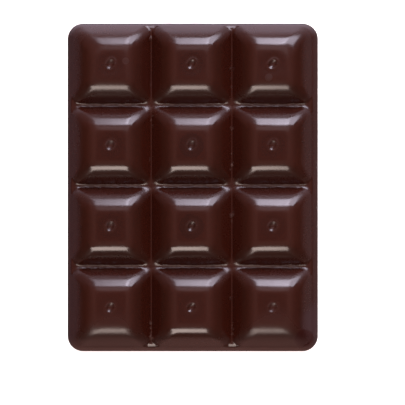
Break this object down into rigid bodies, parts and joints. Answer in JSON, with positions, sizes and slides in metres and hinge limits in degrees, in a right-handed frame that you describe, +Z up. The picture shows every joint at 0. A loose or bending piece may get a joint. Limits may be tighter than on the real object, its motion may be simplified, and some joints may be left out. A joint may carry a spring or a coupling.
{
  "type": "dark chocolate bar",
  "caption": "Flat tablet of dark chocolate, scored by grooves into pillow-shaped squares that break off by hand. Flat back, rounded corners, a shallow dimple in each square.",
  "frame": {"origin": "middle of the flat back, on the surface that the bar lies on", "axes": "+Z up out of the moulded side, +Y along the bar's length, +X across its width"},
  "size_m": [0.084, 0.11, 0.0092],
  "materials": {
    "chocolate": "smooth moulded dark chocolate with a soft satin gloss"
  },
  "bodies": {
    "root": {"chocolate_bar": "chocolate"}
  },
  "joints": []
}
